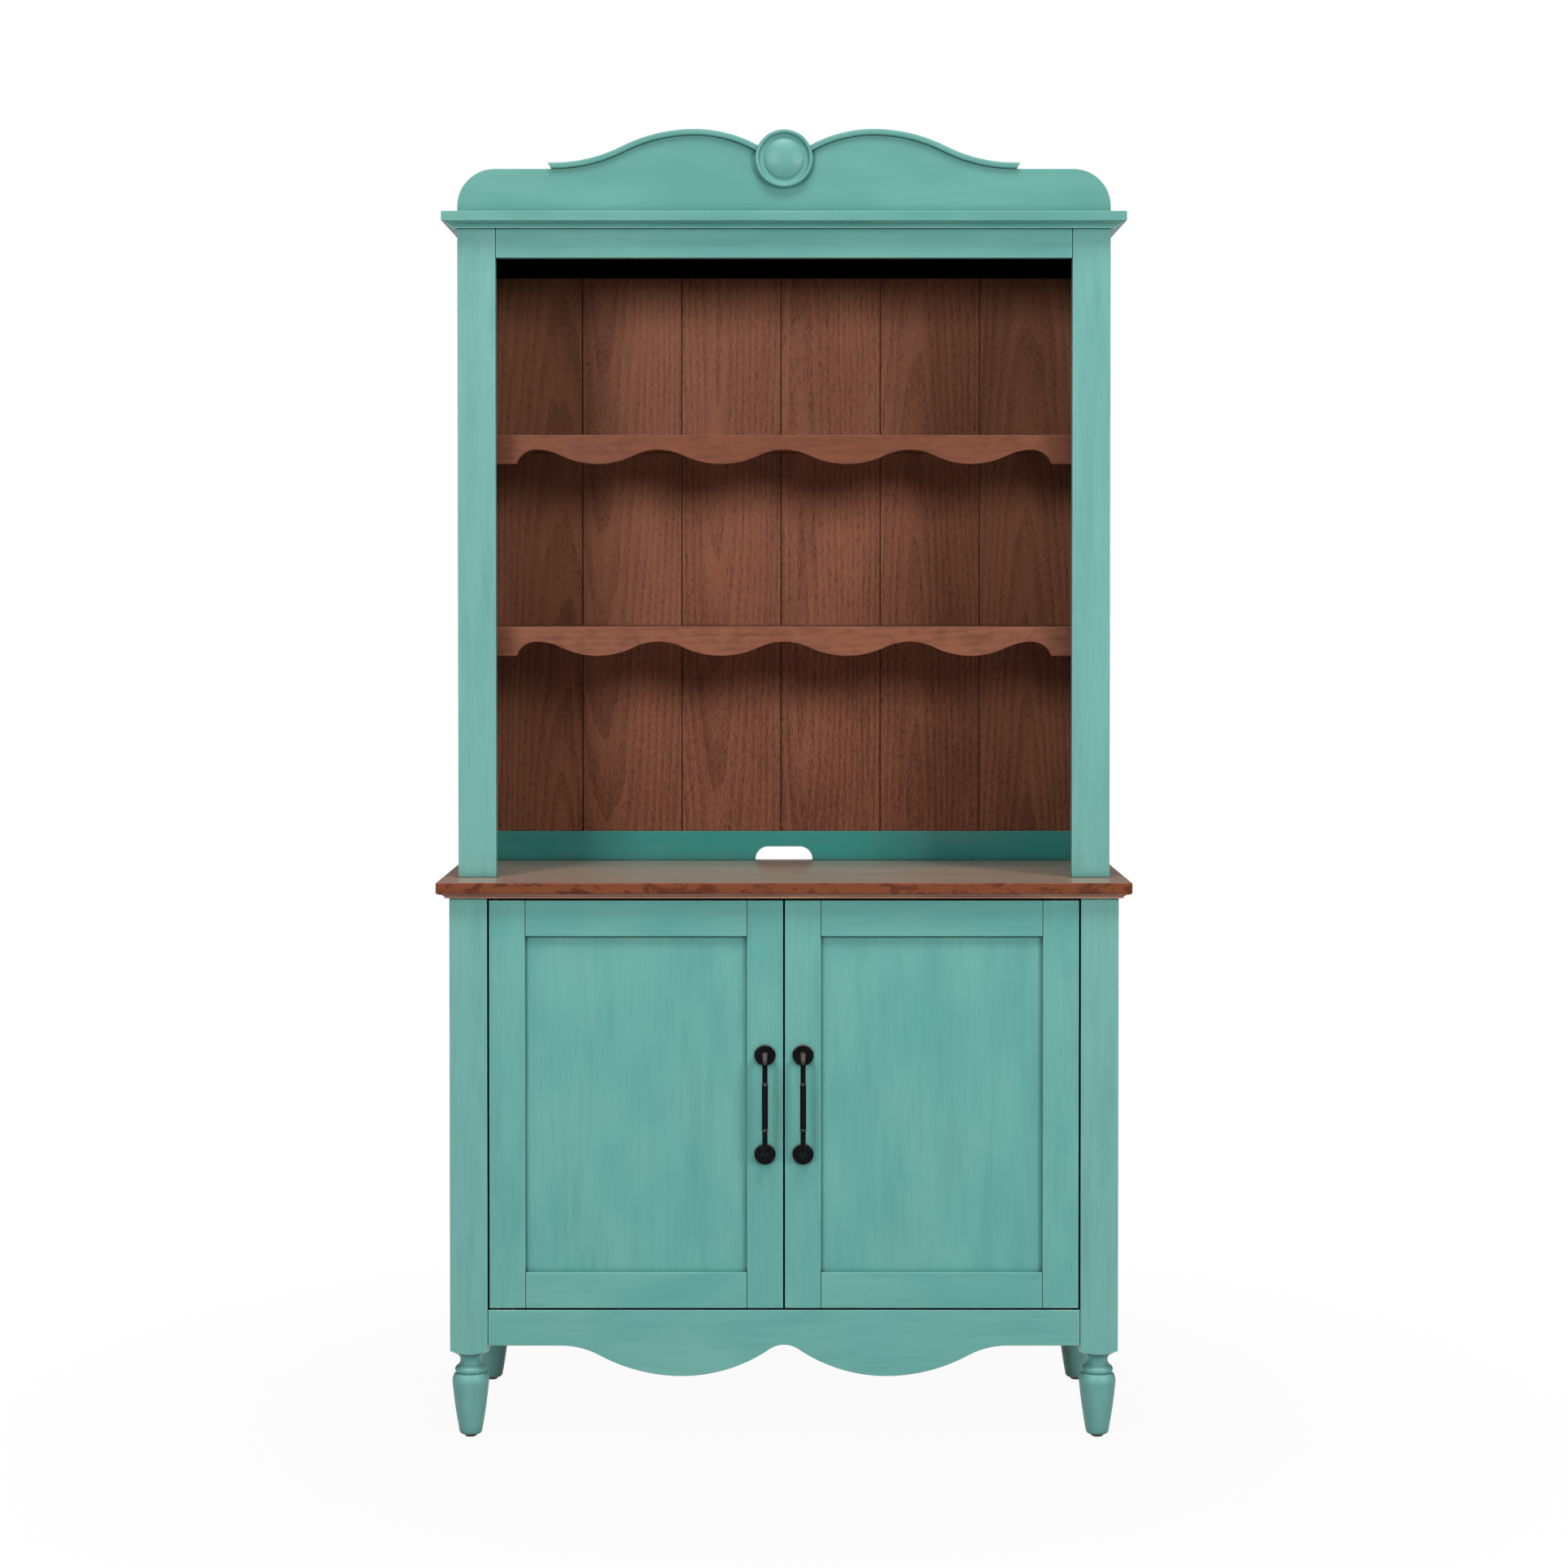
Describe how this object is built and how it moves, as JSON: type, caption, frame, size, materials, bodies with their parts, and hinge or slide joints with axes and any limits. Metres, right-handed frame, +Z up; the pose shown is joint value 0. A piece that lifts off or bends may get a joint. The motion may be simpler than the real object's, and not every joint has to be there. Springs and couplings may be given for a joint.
{
  "type": "hutch",
  "caption": "Painted two-piece hutch: a counter-height cupboard with hinged doors on turned feet, under an open shelf unit with scalloped valances and a humped crest.",
  "frame": {"origin": "on the floor, under the middle of the whole object's box", "axes": "+Z up, +X to the right of someone who faces the doors, +Y from the doors to the back"},
  "size_m": [1.12, 0.476, 2.1264],
  "materials": {
    "paint": "blue-green satin paint with a brushed darker glaze and lightly worn edges",
    "counter_stain": "brown stain under satin varnish",
    "shelf_stain": "brown stain, satin",
    "board_stain": "brown stain with open grain, satin",
    "inner_stain": "brown stain, matt",
    "top_stain": "dark brown stain, matt",
    "black_metal": "satin black",
    "steel": "zinc plated",
    "glide_plastic": "matt black",
    "catch_plastic": "matt brown"
  },
  "bodies": {
    "cabinet": {"leg_front_left": "paint", "leg_front_right": "paint", "leg_back_left": "paint", "leg_back_right": "paint", "foot_glides": "glide_plastic", "base_back_panel": "inner_stain", "base_floor": "inner_stain", "front_apron": "paint", "door_head_rail": "paint", "base_side_left": "paint", "base_side_right": "paint", "counter_top": "counter_stain", "counter_mouldings": "counter_stain", "inner_shelf": "inner_stain", "shelf_pins": "steel", "magnetic_catches": "catch_plastic", "hinge_frame_leaves": "steel", "mending_plates": "steel", "cabinet_screws": "steel", "hutch_side_left": "paint", "hutch_side_right": "paint", "hutch_stile_left": "paint", "hutch_stile_right": "paint", "hutch_head_rail": "paint", "hutch_top_panel": "top_stain", "hutch_back_rail": "paint", "back_board_1": "board_stain", "back_board_2": "board_stain", "back_board_3": "board_stain", "back_board_4": "board_stain", "back_board_5": "board_stain", "back_board_6": "board_stain", "lower_shelf": "shelf_stain", "lower_shelf_valance": "shelf_stain", "upper_shelf": "shelf_stain", "upper_shelf_valance": "shelf_stain", "cornice_cap": "paint", "cornice_mouldings": "paint", "crest_board": "paint", "crest_beads": "paint", "crest_rosette": "paint"},
    "left_door": {"left_door_hinge_stile": "paint", "left_door_lock_stile": "paint", "left_door_top_rail": "paint", "left_door_bottom_rail": "paint", "left_door_panel": "paint", "left_door_hinge_leaves": "steel", "left_door_pull_bar": "black_metal", "left_door_pull_rosettes": "black_metal", "left_door_screws": "steel"},
    "right_door": {"right_door_hinge_stile": "paint", "right_door_lock_stile": "paint", "right_door_top_rail": "paint", "right_door_bottom_rail": "paint", "right_door_panel": "paint", "right_door_hinge_leaves": "steel", "right_door_pull_bar": "black_metal", "right_door_pull_rosettes": "black_metal", "right_door_screws": "steel"}
  },
  "joints": [
    {"name": "left_door_hinge", "type": "hinge", "parent": "cabinet", "child": "left_door", "pos_m": [-0.464, -0.196, 0.545], "axis": [0, 0, -1], "range_deg": [0, 110]},
    {"name": "right_door_hinge", "type": "hinge", "parent": "cabinet", "child": "right_door", "pos_m": [0.464, -0.196, 0.545], "axis": [0, 0, 1], "range_deg": [0, 110]}
  ]
}
